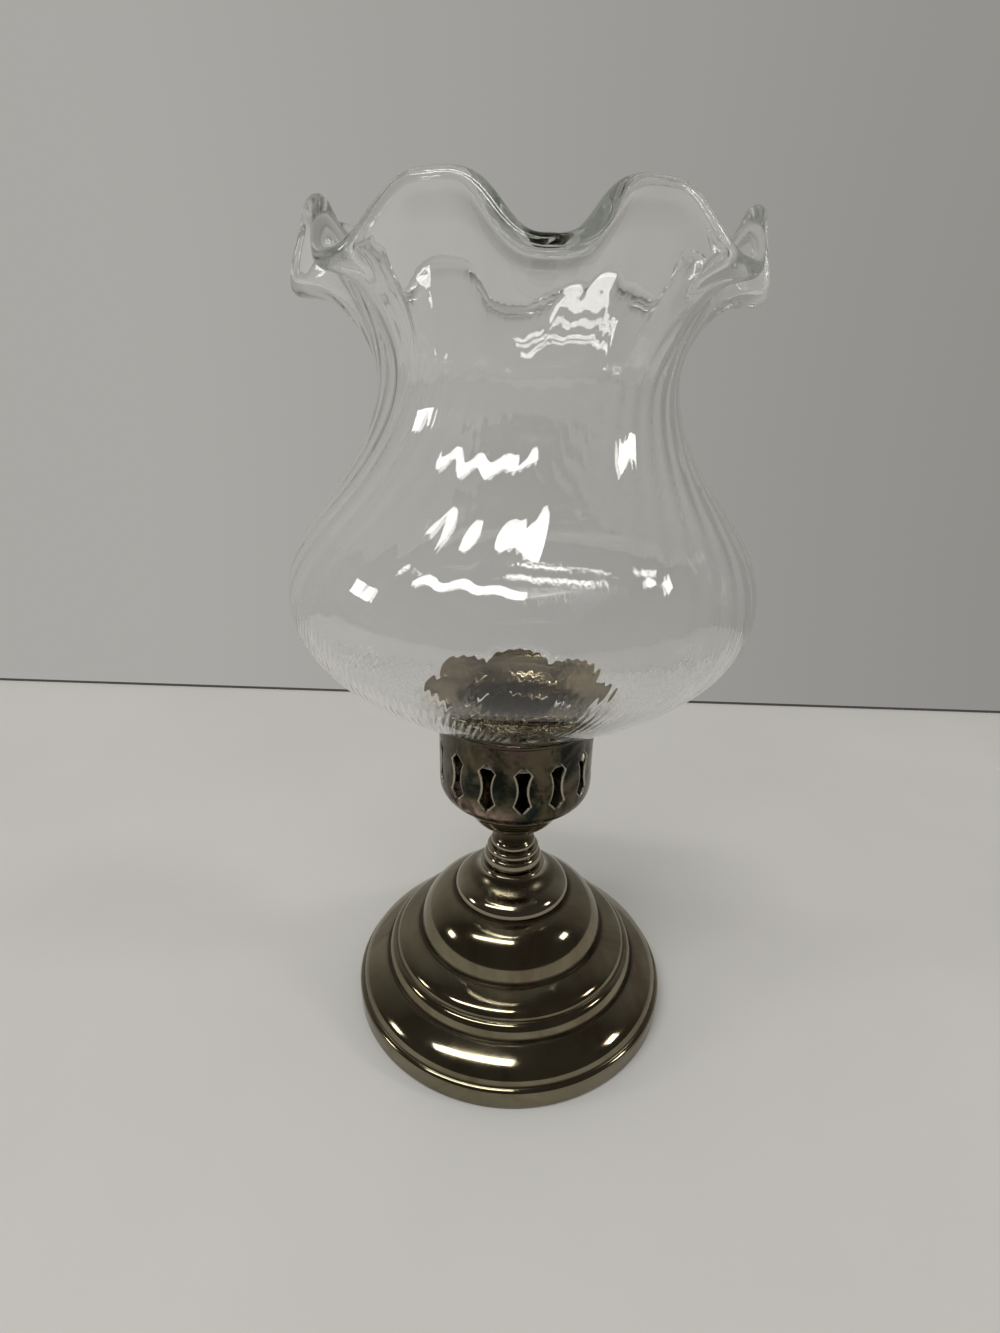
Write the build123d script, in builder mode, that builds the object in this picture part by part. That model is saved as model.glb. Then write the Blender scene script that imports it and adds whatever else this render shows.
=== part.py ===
from build123d import *
from math import cos, hypot, pi, radians, sin
import os

os.makedirs("parts", exist_ok=True)

# Candle lamp with a ruffled glass shade: a spun foot, a turned stem, a pierced gallery that
# holds the shade, and a candle socket. Millimetres, +Z up, the table at Z = 0, the stem on the Z axis.

# Foot: a spun shell of stacked round mouldings, each one narrower than the one below
foot_radius = 51.0
foot_wall = 0.9
rim_height = 6.4
rim_round = 1.4
ovolo_setback = 1.5
ovolo_width = 7.9
ovolo_height = 7.6
bead_setback = 0.8
bead_width = 2.6
bead_height = 5.0
torus_setback = 0.2
torus_width = 7.2
torus_height = 5.2
dome_setback = 0.9
dome_height = 15.2
dome_top_radius = 13.0

# Shoulder of the ovolo and the torus, as shares of their width and height
shoulder_start = 0.31
shoulder_inset = 0.10
shoulder_rise = 0.49

# Underside: felt on a steel disc, with a cast weight clamped above it
felt_thickness = 1.6
felt_margin = 1.4
plate_thickness = 0.9
plate_clearance = 0.3
rim_lift = 0.6
weight_radius = 37.0
weight_height = 9.6
weight_boss_radius = 8.5
weight_chamfer = 1.0
nut_recess_radius = 9.5

# Tie rod and its fasteners, metric size M5
rod_radius = 2.5
rod_clearance = 0.25
rod_end_gap = 1.2
rod_chamfer = 0.5
nut_across_flats = 8.0
nut_height = 4.0
thread_clearance = 0.02
spring_washer_radius = 4.4
spring_washer_thickness = 1.2
spring_washer_split = 1.0
flat_washer_radius = 7.5
flat_washer_thickness = 1.0

# Bell cap over the top of the dome
bell_radius = 18.4
bell_height = 9.2
bell_top_radius = 10.2
bell_shoulder_radius = 14.6
bell_shoulder_height = 4.1
bell_top_lean = 0.25
bell_skirt = 1.1
bell_clearance = 0.3

# Turned stem: a bead, rings that step in above it, and a neck
stem_bead_radius = 9.2
stem_bead_height = 4.2
stem_bead_depth = 1.2
stem_rings = 2
stem_ring_radius = 8.3
stem_ring_step = 1.2
stem_ring_height = 2.5
stem_ring_depth = 0.9
stem_neck_radius = 4.9
stem_neck_height = 6.1
stem_collar_radius = 5.6

# Saucer under the gallery
saucer_height = 11.1
saucer_foot_radius = 6.3
saucer_radius = 15.6
saucer_wall = 0.9

# Gallery: a pierced cup that takes the neck of the shade
gallery_radius = 23.1
gallery_height = 28.2
gallery_wall = 0.9
gallery_corner = 5.5
gallery_lip = 0.45
slot_count = 14
slot_phase = 5.8
slot_bottom = 6.2
slot_height = 14.9
slot_lobe_width = 4.6
slot_waist_width = 2.3
slot_lobe_share = 0.33

# Candle socket for a 22 mm candle
candle_radius = 11.0
candle_clearance = 0.15
socket_wall = 0.9
socket_floor = 6.0
socket_depth = 17.0
socket_lip = 1.1

# Glass shade: the middle line of its wall, as radius and height above the gallery's top
shade_seat_gap = 0.35
shade_lobes = 8
shade_phase = 3.5
neck_gap = 1.8
neck_depth = 10.5
neck_wall = 2.4
bend_out = 0.96
bend_rise = 0.6
seat_overhang = 0.48
seat_rise = 1.58
body_wall = 2.2
lip_wall = 4.0
lip_swelling = [0.0, 0.15, 0.45, 1.0]
bowl_points = [(30.0, 5.0), (40.5, 11.0), (50.8, 18.6), (58.6, 28.0), (60.9, 36.8)]
waist_points = [(57.0, 50.8), (46.9, 64.4), (38.6, 78.3), (35.8, 90.3)]
crest_points = [(37.0, 99.3), (41.0, 108.9), (45.9, 117.6), (49.4, 123.4)]
dip_points = [(37.8, 98.0), (42.4, 105.6), (48.3, 110.9), (54.0, 112.7)]
dip_sharpness = 1.3
dip_squareness = 1.35
sections_per_lobe = 6

# Petal collar in the throat of the shade
collar_gap = 0.7
collar_wall = 0.8
collar_depth = 5.0
collar_lift = 1.6
petal_count = 7
petal_reach = 28.0
petal_round = 11.0

# Heights, worked up from the table
plate_bottom = felt_thickness
weight_bottom = plate_bottom + plate_thickness
rim_bottom = rim_lift
rim_top = rim_bottom + rim_height
ovolo_top = rim_top + ovolo_height
bead_top = ovolo_top + bead_height
torus_top = bead_top + torus_height
dome_top = torus_top + dome_height
bell_top = dome_top + bell_height
stem_height = stem_bead_height + stem_neck_height + stem_rings * stem_ring_height
stem_top = bell_top + stem_height
gallery_bottom = stem_top + saucer_height
gallery_top = gallery_bottom + gallery_height
gallery_floor = gallery_bottom + gallery_wall
socket_seat = gallery_floor + socket_floor
socket_top = socket_seat + socket_depth
washer_top = weight_bottom + rod_end_gap + nut_height + spring_washer_thickness + flat_washer_thickness

# Radii, worked in from the foot's edge
ovolo_radius = foot_radius - ovolo_setback
bead_radius = ovolo_radius - ovolo_width - bead_setback
torus_radius = bead_radius - bead_width - torus_setback
dome_radius = torus_radius - torus_width - dome_setback
rod_hole = rod_radius + rod_clearance
neck_radius = gallery_radius - gallery_wall - neck_gap - neck_wall / 2


def foot_outline(shift=0.0):
    """Draw the foot's mouldings from its rim to its flat top, moved in and down by shift."""
    edge = foot_radius - shift
    Line((edge, rim_bottom - shift), (edge, rim_top - rim_round - shift))
    JernArc((edge, rim_top - rim_round - shift), (0, 1), rim_round, 90)
    Line((edge - rim_round, rim_top - shift), (ovolo_radius - shift, rim_top - shift))
    shouldered_round(ovolo_radius - shift, rim_top - shift, ovolo_width, ovolo_height)
    Line((ovolo_radius - ovolo_width - shift, ovolo_top - shift), (bead_radius - shift, ovolo_top - shift))
    quarter_round(bead_radius - shift, ovolo_top - shift, bead_width, bead_height)
    Line((bead_radius - bead_width - shift, bead_top - shift), (torus_radius - shift, bead_top - shift))
    shouldered_round(torus_radius - shift, bead_top - shift, torus_width, torus_height)
    Line((torus_radius - torus_width - shift, torus_top - shift), (dome_radius - shift, torus_top - shift))
    quarter_round(dome_radius - shift, torus_top - shift, dome_radius - dome_top_radius, dome_height)
    Line((dome_top_radius - shift, dome_top - shift), (0, dome_top - shift))
    Line((0, dome_top - shift), (0, rim_bottom - shift))
    Line((0, rim_bottom - shift), (edge, rim_bottom - shift))


def quarter_round(radius, base, width, height):
    """Draw a convex quarter ellipse that rises from (radius, base) and turns inwards."""
    EllipticalCenterArc((radius - width, base), width, height, start_angle=0, arc_size=90)


def shouldered_round(radius, base, width, height):
    """Draw a round that rises from (radius, base), turns over a tight shoulder and slopes inwards."""
    Bezier(
        (radius, base),
        (radius, base + shoulder_start * height),
        (radius - shoulder_inset * width, base + shoulder_rise * height),
        (radius - width, base + height),
    )


def unit(vector):
    """Scale a flat vector to length 1."""
    length = hypot(*vector)
    return (vector[0] / length, vector[1] / length)


def shifted(points, distances):
    """Move each point of a line to its right-hand side by its own distance."""
    moved = []
    for index, (x, y) in enumerate(points):
        before = points[max(index - 1, 0)]
        after = points[min(index + 1, len(points) - 1)]
        along = unit((after[0] - before[0], after[1] - before[1]))
        moved.append((x + along[1] * distances[index], y - along[0] * distances[index]))
    return moved


def dip_at(share):
    """How far the rim has dropped at a share of a lobe: 0 at the crests, 1 in the dip half-way."""
    swing = ((1 - cos(2 * pi * share)) / 2) ** dip_sharpness
    low = swing**dip_squareness
    return low / (low + (1 - swing) ** dip_squareness)


def shade_line(dip):
    """Middle line of the shade's wall, from its neck to its lip; dip is 0 at a crest and 1 in a dip."""
    seat = gallery_top + shade_seat_gap
    neck = [(neck_radius, seat - neck_depth), (neck_radius, seat - neck_wall / 2)]
    bend = (neck_radius + bend_out, seat + bend_rise)
    overhang = (gallery_radius + seat_overhang, seat + seat_rise)
    body = [(radius, seat + height) for radius, height in bowl_points + waist_points]
    rim = []
    for crest, low in zip(crest_points, dip_points):
        radius = crest[0] + (low[0] - crest[0]) * dip
        rim.append((radius, seat + crest[1] + (low[1] - crest[1]) * dip))
    return neck + [bend, overhang] + body + rim


def shade_walls():
    """Wall thickness at each point of the shade's middle line."""
    body_count = len(bowl_points) + len(waist_points)
    swelling = [body_wall + (lip_wall - body_wall) * share for share in lip_swelling]
    return [neck_wall] * 4 + [body_wall] * body_count + swelling


def radial_plane(angle):
    """Upright plane through the Z axis, with its X outwards; angle 0 faces the front, at -Y."""
    turn = radians(angle)
    outwards = (sin(turn), -cos(turn), 0)
    return Plane(origin=(0, 0, 0), x_dir=outwards, z_dir=(-cos(turn), -sin(turn), 0))


def facing_plane(angle, height):
    """Upright plane on the Z axis that faces outwards; angle 0 faces the front, at -Y."""
    turn = radians(angle)
    return Plane(origin=(0, 0, height), x_dir=(cos(turn), sin(turn), 0), z_dir=(sin(turn), -cos(turn), 0))


# Foot shell, hollow and open below, with a hole for the rod in its flat top
with BuildPart() as foot_shell:
    with BuildSketch(Plane.XZ):
        with BuildLine():
            foot_outline()
        make_face()
    revolve(axis=Axis.Z)
    with BuildSketch(Plane.XZ):
        with BuildLine():
            foot_outline(foot_wall)
        make_face()
    revolve(axis=Axis.Z, mode=Mode.SUBTRACT)
    with BuildSketch(Plane.XY.offset(dome_top - foot_wall)):
        Circle(rod_hole)
    extrude(amount=foot_wall, mode=Mode.SUBTRACT)

# Felt pad that the lamp stands on
with BuildPart() as felt_pad:
    with BuildSketch():
        Circle(foot_radius - foot_wall - felt_margin)
    extrude(amount=felt_thickness)

# Steel disc that closes the foot from below
with BuildPart() as base_plate:
    with BuildSketch(Plane.XY.offset(plate_bottom)):
        Circle(foot_radius - foot_wall - plate_clearance)
    extrude(amount=plate_thickness)

# Cast weight with a central boss that reaches up to the foot's flat top
with BuildPart() as base_weight:
    with BuildSketch(Plane.XY.offset(weight_bottom)):
        Circle(weight_radius)
    extrude(amount=weight_height)
    chamfer(base_weight.edges().group_by(Axis.Z)[-1], length=weight_chamfer)
    with BuildSketch(Plane.XY.offset(weight_bottom)):
        Circle(weight_boss_radius)
    extrude(amount=dome_top - foot_wall - weight_bottom)
    with BuildSketch(Plane.XY.offset(weight_bottom)):
        Circle(nut_recess_radius)
    extrude(amount=washer_top - weight_bottom, mode=Mode.SUBTRACT)
    with BuildSketch(Plane.XY.offset(weight_bottom)):
        Circle(rod_hole)
    extrude(amount=dome_top - weight_bottom, mode=Mode.SUBTRACT)

# Tie rod from the nut under the weight up into the candle socket's floor
rod_bottom = weight_bottom + rod_end_gap / 2
rod_top = gallery_floor + socket_floor - rod_end_gap
with BuildPart() as tie_rod:
    with BuildSketch(Plane.XY.offset(rod_bottom)):
        Circle(rod_radius)
    extrude(amount=rod_top - rod_bottom)
    chamfer(tie_rod.edges().filter_by(GeomType.CIRCLE), length=rod_chamfer)

# Hexagon nut on the lower end of the rod
nut_bottom = weight_bottom + rod_end_gap
with BuildPart() as rod_nut:
    with BuildSketch(Plane.XY.offset(nut_bottom)):
        RegularPolygon(nut_across_flats / 2, 6, major_radius=False)
        Circle(rod_radius + thread_clearance, mode=Mode.SUBTRACT)
    extrude(amount=nut_height)

# Split spring washer above the nut
spring_washer_bottom = nut_bottom + nut_height
with BuildPart() as spring_washer:
    with BuildSketch(Plane.XY.offset(spring_washer_bottom)):
        Circle(spring_washer_radius)
        Circle(rod_hole, mode=Mode.SUBTRACT)
        with Locations((spring_washer_radius, 0)):
            Rectangle(2 * spring_washer_radius, spring_washer_split, mode=Mode.SUBTRACT)
    extrude(amount=spring_washer_thickness)

# Flat washer that bears on the weight
flat_washer_bottom = spring_washer_bottom + spring_washer_thickness
with BuildPart() as flat_washer:
    with BuildSketch(Plane.XY.offset(flat_washer_bottom)):
        Circle(flat_washer_radius)
        Circle(rod_hole, mode=Mode.SUBTRACT)
    extrude(amount=flat_washer_thickness)

# Bell cap: sits on the foot's flat top, and its skirt hangs around the dome's shoulder
with BuildPart() as bell_cap:
    with BuildSketch(Plane.XZ):
        with BuildLine():
            Line((0, dome_top - bell_skirt), (bell_radius, dome_top - bell_skirt))
            Line((bell_radius, dome_top - bell_skirt), (bell_radius, dome_top))
            Spline(
                (bell_radius, dome_top),
                (bell_shoulder_radius, dome_top + bell_shoulder_height),
                (bell_top_radius, bell_top),
                tangents=((0, 1), (-bell_top_lean, 1)),
            )
            Line((bell_top_radius, bell_top), (0, bell_top))
            Line((0, bell_top), (0, dome_top - bell_skirt))
        make_face()
    revolve(axis=Axis.Z)
    with BuildSketch(Plane.XZ):
        with BuildLine():
            foot_outline(-bell_clearance)
        make_face()
        with Locations((0, dome_top)):
            seat_align = (Align.CENTER, Align.MIN)
            Rectangle(2 * dome_top_radius, 2 * bell_height, align=seat_align, mode=Mode.SUBTRACT)
    revolve(axis=Axis.Z, mode=Mode.SUBTRACT)
    with BuildSketch(Plane.XY.offset(dome_top)):
        Circle(rod_hole)
    extrude(amount=bell_height, mode=Mode.SUBTRACT)

# Stem: a bead, two rings and a waisted neck, turned from one bar
with BuildPart() as stem:
    bead_foot = stem_bead_radius - stem_bead_depth
    bead_end = bell_top + stem_bead_height
    neck_start = bead_end + stem_rings * stem_ring_height
    with BuildSketch(Plane.XZ):
        with BuildLine():
            Line((rod_hole, bell_top), (bead_foot, bell_top))
            ThreePointArc(
                (bead_foot, bell_top),
                (stem_bead_radius, bell_top + stem_bead_height / 2),
                (bead_foot, bead_end),
            )
            foot = bead_foot
            for ring in range(stem_rings):
                ring_base = bead_end + ring * stem_ring_height
                ring_edge = stem_ring_radius - ring * stem_ring_step
                ring_foot = ring_edge - stem_ring_depth
                Line((foot, ring_base), (ring_foot, ring_base))
                ThreePointArc(
                    (ring_foot, ring_base),
                    (ring_edge, ring_base + stem_ring_height / 2),
                    (ring_foot, ring_base + stem_ring_height),
                )
                foot = ring_foot
            Spline(
                (foot, neck_start),
                (stem_neck_radius, neck_start + stem_neck_height / 2),
                (stem_collar_radius, stem_top),
            )
            Line((stem_collar_radius, stem_top), (rod_hole, stem_top))
            Line((rod_hole, stem_top), (rod_hole, bell_top))
        make_face()
    revolve(axis=Axis.Z)

# Saucer: a small spun bowl between the stem and the gallery
with BuildPart() as cup_saucer:
    with BuildSketch(Plane.XZ):
        with BuildLine():
            Line((0, stem_top), (saucer_foot_radius, stem_top))
            EllipticalCenterArc(
                (saucer_foot_radius, gallery_bottom),
                saucer_radius - saucer_foot_radius,
                saucer_height,
                start_angle=270,
                arc_size=90,
            )
            Line((saucer_radius, gallery_bottom), (0, gallery_bottom))
            Line((0, gallery_bottom), (0, stem_top))
        make_face()
    revolve(axis=Axis.Z)
    offset(amount=-saucer_wall, openings=cup_saucer.faces().sort_by(Axis.Z)[-1])
    with BuildSketch(Plane.XY.offset(stem_top)):
        Circle(rod_hole)
    extrude(amount=saucer_wall, mode=Mode.SUBTRACT)

# Gallery: a cup with a rounded corner, a rolled lip and a ring of pierced slots
with BuildPart() as gallery:
    with BuildSketch(Plane.XY.offset(gallery_bottom)):
        Circle(gallery_radius)
    extrude(amount=gallery_height)
    fillet(gallery.edges().group_by(Axis.Z)[0], radius=gallery_corner)
    offset(amount=-gallery_wall, openings=gallery.faces().sort_by(Axis.Z)[-1])
    with BuildSketch(Plane.XZ):
        with Locations((gallery_radius - gallery_wall / 2, gallery_top - gallery_wall / 2 - gallery_lip)):
            Circle(gallery_wall / 2 + gallery_lip)
    revolve(axis=Axis.Z)
    with BuildSketch(Plane.XY.offset(gallery_bottom)):
        Circle(rod_hole)
    extrude(amount=gallery_wall, mode=Mode.SUBTRACT)
    slot_middle = gallery_bottom + slot_bottom + slot_height / 2
    lobe_rise = slot_height * slot_lobe_share
    for slot in range(slot_count):
        with BuildSketch(facing_plane(slot_phase + slot * 360 / slot_count, slot_middle)):
            with BuildLine():
                for side in (1, -1):
                    Line((0, slot_height / 2), (side * slot_lobe_width / 2, lobe_rise))
                    ThreePointArc(
                        (side * slot_lobe_width / 2, lobe_rise),
                        (side * slot_waist_width / 2, 0),
                        (side * slot_lobe_width / 2, -lobe_rise),
                    )
                    Line((side * slot_lobe_width / 2, -lobe_rise), (0, -slot_height / 2))
            make_face()
        extrude(amount=gallery_radius + gallery_wall, mode=Mode.SUBTRACT)

# Candle socket, screwed down on the rod inside the gallery
with BuildPart() as candle_socket:
    socket_radius = candle_radius + candle_clearance
    with BuildSketch(Plane.XY.offset(gallery_floor)):
        Circle(socket_radius + socket_wall)
    extrude(amount=socket_floor + socket_depth)
    with BuildSketch(Plane.XY.offset(socket_top)):
        Circle(socket_radius + socket_wall + socket_lip)
    extrude(amount=-socket_wall)
    with BuildSketch(Plane.XY.offset(socket_seat)):
        Circle(socket_radius)
    extrude(amount=socket_depth, mode=Mode.SUBTRACT)
    with BuildSketch(Plane.XY.offset(gallery_floor)):
        Circle(rod_radius + thread_clearance)
    extrude(amount=socket_floor, mode=Mode.SUBTRACT)

# One lobe of the shade, from crest to crest: radial wall sections, closest at the crests so that the
# neighbours meet there without a kink, and lofted around the axis
lobe_angle = 360 / shade_lobes
with BuildPart() as shade_lobe:
    for section in range(sections_per_lobe + 1):
        share = (1 - cos(pi * section / sections_per_lobe)) / 2
        middle_line = shade_line(dip_at(share))
        walls = shade_walls()
        outside = shifted(middle_line, [wall / 2 for wall in walls])
        inside = shifted(middle_line, [-wall / 2 for wall in walls])
        lip_along = unit((middle_line[-1][0] - middle_line[-2][0], middle_line[-1][1] - middle_line[-2][1]))
        lip_end = (
            middle_line[-1][0] + lip_along[0] * lip_wall / 2,
            middle_line[-1][1] + lip_along[1] * lip_wall / 2,
        )
        with BuildSketch(radial_plane(shade_phase + lobe_angle * (share - 0.5))):
            with BuildLine():
                Line(outside[0], outside[1])
                Spline(outside[1:])
                ThreePointArc(outside[-1], lip_end, inside[-1])
                Spline(inside[:0:-1])
                Line(inside[1], inside[0])
                Line(inside[0], outside[0])
            make_face()
    loft()

# Glass shade: all the lobes joined into one blown piece
with BuildPart() as glass_shade:
    with PolarLocations(0, shade_lobes):
        add(shade_lobe.part)

# Petal collar: a short sleeve in the throat of the shade that flares over the bowl's floor
with BuildPart() as petal_collar:
    floor_line = shade_line(0)[:5]
    rises = [wall / 2 + collar_gap for wall in shade_walls()[:5]]
    rises[-1] += collar_lift
    under = shifted(floor_line, [-rise for rise in rises])
    upper = shifted(floor_line, [-rise - collar_wall for rise in rises])
    sleeve_end = under[1][1] - collar_depth
    with BuildSketch(Plane.XZ):
        with BuildLine():
            Line((under[1][0], sleeve_end), under[1])
            Spline(under[1:])
            Line(under[-1], upper[-1])
            Spline(upper[:0:-1])
            Line(upper[1], (upper[1][0], sleeve_end))
            Line((upper[1][0], sleeve_end), (under[1][0], sleeve_end))
        make_face()
    revolve(axis=Axis.Z)
    with BuildSketch(Plane.XY.offset(sleeve_end)):
        Circle(petal_reach - petal_round)
        with PolarLocations(petal_reach - petal_round, petal_count, start_angle=90):
            Circle(petal_round)
    extrude(amount=gallery_height, mode=Mode.INTERSECT)

for piece, name in (
    (foot_shell, "foot_shell"),
    (felt_pad, "felt_pad"),
    (base_plate, "base_plate"),
    (base_weight, "base_weight"),
    (tie_rod, "tie_rod"),
    (rod_nut, "rod_nut"),
    (spring_washer, "spring_washer"),
    (flat_washer, "flat_washer"),
    (bell_cap, "bell_cap"),
    (stem, "stem"),
    (cup_saucer, "cup_saucer"),
    (gallery, "gallery"),
    (candle_socket, "candle_socket"),
    (glass_shade, "glass_shade"),
    (petal_collar, "petal_collar"),
):
    piece.part.label = name
    export_step(piece.part, f"parts/{name}.step")
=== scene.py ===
"""Looks of a candle lamp: spun plated foot, pierced gallery, petal collar and ruffled glass shade."""
import math

import bmesh
import bpy
import numpy as np
from mathutils import Matrix, Vector


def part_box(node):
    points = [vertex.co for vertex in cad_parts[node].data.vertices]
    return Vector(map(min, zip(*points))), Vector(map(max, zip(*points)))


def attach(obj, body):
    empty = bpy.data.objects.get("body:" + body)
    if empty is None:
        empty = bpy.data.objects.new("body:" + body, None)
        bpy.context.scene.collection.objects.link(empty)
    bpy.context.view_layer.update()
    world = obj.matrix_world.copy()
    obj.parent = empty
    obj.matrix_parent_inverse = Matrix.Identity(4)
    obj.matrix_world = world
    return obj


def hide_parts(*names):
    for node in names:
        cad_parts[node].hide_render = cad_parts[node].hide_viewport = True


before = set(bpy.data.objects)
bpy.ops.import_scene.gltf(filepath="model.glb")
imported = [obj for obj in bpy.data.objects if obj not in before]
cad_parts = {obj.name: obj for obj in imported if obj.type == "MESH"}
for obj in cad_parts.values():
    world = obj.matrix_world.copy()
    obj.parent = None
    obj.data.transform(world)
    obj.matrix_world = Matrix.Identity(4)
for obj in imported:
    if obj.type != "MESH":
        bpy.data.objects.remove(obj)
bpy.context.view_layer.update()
MM = 0.001

# Foot, with its mouldings from the rim up: setback from the one below, width, height, has a shoulder
FOOT_WALL = 0.9 * MM
RIM_HEIGHT = 6.4 * MM
RIM_ROUND = 1.4 * MM
MOULDINGS = (
    (1.5 * MM, 7.9 * MM, 7.6 * MM, True),
    (0.8 * MM, 2.6 * MM, 5.0 * MM, False),
    (0.2 * MM, 7.2 * MM, 5.2 * MM, True),
)
SHOULDER_START = 0.31
SHOULDER_INSET = 0.10
SHOULDER_RISE = 0.49
DOME_SETBACK = 0.9 * MM
DOME_TOP_RADIUS = 13.0 * MM
ROD_HOLE = 2.75 * MM

# Bell cap, with its curves leaning in by shares of the way inwards and rising by shares of its shoulder
BELL_TOP_RADIUS = 10.2 * MM
BELL_SHOULDER_RADIUS = 14.6 * MM
BELL_SHOULDER_HEIGHT = 4.1 * MM
BELL_CLEARANCE = 0.3 * MM
BELL_SKIRT_START = 0.5
BELL_SKIRT_INSET = 0.55
BELL_SKIRT_RISE = 0.8
BELL_WAIST_INSET = 0.45
BELL_WAIST_RISE = 0.2
BELL_NECK_FLARE = 0.15

# Stem and saucer
STEM_BEAD_HEIGHT = 4.2 * MM
STEM_BEAD_DEPTH = 1.2 * MM
STEM_RINGS = 2
STEM_RING_RADIUS = 8.3 * MM
STEM_RING_STEP = 1.2 * MM
STEM_RING_HEIGHT = 2.5 * MM
STEM_RING_DEPTH = 0.9 * MM
STEM_NECK_RADIUS = 4.9 * MM
STEM_COLLAR_RADIUS = 5.6 * MM
SAUCER_FOOT_RADIUS = 6.3 * MM
SAUCER_WALL = 0.9 * MM

# Pierced gallery
GALLERY_RADIUS = 23.1 * MM
GALLERY_WALL = 0.9 * MM
GALLERY_CORNER = 5.5 * MM
GALLERY_LIP = 0.45 * MM
SLOT_COUNT = 14
SLOT_PHASE = math.radians(5.8)
SLOT_BOTTOM = 6.2 * MM
SLOT_HEIGHT = 14.9 * MM
SLOT_LOBE = 4.6 * MM
SLOT_WAIST = 2.3 * MM
SLOT_LOBE_SHARE = 0.33
SLOT_EDGE = 0.35 * MM

# Mesh of the gallery: points along its section, and columns from a panel's edge towards its slot
FLOOR_RADII = (ROD_HOLE, GALLERY_RADIUS / 2)
CORNER_POINTS = 9
SLOT_ROWS = 31
BEAD_ARC = (-50, 230)
BEAD_POINTS = 15
PANEL_COLUMNS = (0.0, 0.3, 0.55, 0.75, 0.9)

# Copper rubbed bare on the lower left of the gallery: where each of its sides starts and where it is full
RUBBED_TOP = (84.5 * MM, 77.5 * MM)
RUBBED_RIGHT = (2.0 * MM, -8.0 * MM)
RUBBED_LEFT = (-21.0 * MM, -14.0 * MM)

# Glass shade: middle line of its wall as (radius, height above its seat on the gallery) in millimetres
SEAT_GAP = 0.35 * MM
NECK_RADIUS = 19.2 * MM
NECK_DEPTH = 10.5 * MM
NECK_WALL = 2.4 * MM
BODY_WALL = 2.2 * MM
LIP_WALL = 4.0 * MM
LIP_SWELLING = (0.0, 0.15, 0.45, 1.0)
SHOULDER = ((20.16, 0.6), (23.58, 1.58))
BOWL = ((30.0, 5.0), (40.5, 11.0), (50.8, 18.6), (58.6, 28.0), (60.9, 36.8))
WAIST = ((57.0, 50.8), (46.9, 64.4), (38.6, 78.3), (35.8, 90.3))
CREST = ((37.0, 99.3), (41.0, 108.9), (45.9, 117.6), (49.4, 123.4))
DIP = ((37.8, 98.0), (42.4, 105.6), (48.3, 110.9), (54.0, 112.7))
LOBES = 8
LOBE_PHASE = math.radians(3.5)
DIP_SHARPNESS = 1.3
DIP_SQUARENESS = 1.35

# Unevenness of the hand-crimped rim, to the right from the front: drift in degrees, sag in millimetres
DIP_DRIFT = (0.0, 0.0, 0.6, -0.8, 0.5, 1.0, -0.4, -2.2)
DIP_SAG = (0.0, 0.9, 3.6, 0.8, 0.3, 1.0, 3.6, 0.9)
CREST_SAG = (0.5, 0.3, 0.6, 0.2, 0.5, 0.1, 0.4, 0.0)
SAG_GROWTH = (0.1, 0.35, 0.75, 1.0)

# Swirling ribs of the blown glass; each pair is (share along the wall, share of the ribs' depth)
RIBS = 46
RIB_COLUMNS = 9
RIB_TWIST = math.radians(62.0)
RIB_DEPTH = 0.06 * MM
RIB_FADE = ((0.06, 0.0), (0.14, 0.3), (0.44, 0.42), (0.52, 1.0), (0.78, 1.0), (0.98, 0.12))
RIB_FOLLOWED_INSIDE = ((0.26, -0.6), (0.36, 0.95))
FINE_RIBS = 4 * RIBS

# Mesh of the shade, the share of its wall that is frosted, and how far it stays inside the solid's faces
SHADE_ROWS = 104
LIP_ROWS = 7
FROSTED_END = 0.003
SKIN = 0.02 * MM

# Bounces of light that are followed, and those after which light caught in the glass wall leaves it
LIGHT_BOUNCES = 128
TRAPPED_BOUNCES = 8.0

# Petal collar: middle line as (radius, height above the sleeve's lower end) in millimetres
COLLAR_WALL = 0.8 * MM
COLLAR_LINE = ((16.9, 0.0), (16.9, 4.6), (18.3, 7.6), (22.6, 9.9), (28.2, 14.0))
COLLAR_ROWS = 44
COLLAR_SAMPLES = 200
COLLAR_STEPS = 400
PETALS = 7
PETAL_REACH = 28.0 * MM
PETAL_ROUND = 11.0 * MM
PETAL_CUP = 0.7 * MM
PETAL_FLUTES = 21
PETAL_FLUTE_DEPTH = 0.07 * MM
PETAL_RIPPLES = 5
PETAL_RIPPLE_DEPTH = 0.14 * MM
FLUTE_COLUMNS = 5
RELIEF_GROWTH = 3.0

# Spun and turned metal
SEGMENTS = 192
LINE_STEP = 0.45 * MM
FINE_STEPS = 4
EDGE_SOFTNESS = 0.35 * MM
GROOVE_REACH = 5 * EDGE_SOFTNESS
# Width of the ring of painted shade on the dome under the bell's rim
BELL_SHADE_WIDTH = 1.2 * MM

# Camera that took the photograph, in the 1000 by 1333 frame
FRAME_HEIGHT = 1333
FOCAL_PIXELS = 730.0
CAMERA_PLACE = (0.0, -0.194378, 0.199785)
CAMERA_PITCH = math.radians(23.0970)
CAMERA_ROLL = math.radians(-1.2089)
CAMERA_YAW = math.radians(-1.5782)
NEAREST_SEEN = 0.01

# Table, and a dark strip painted as the shadow line along its rear edge
TABLE_BACK = 0.225
TABLE_SIDE = 4.0
EDGE_SHADOW_LINE = 1.6 * MM

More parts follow.
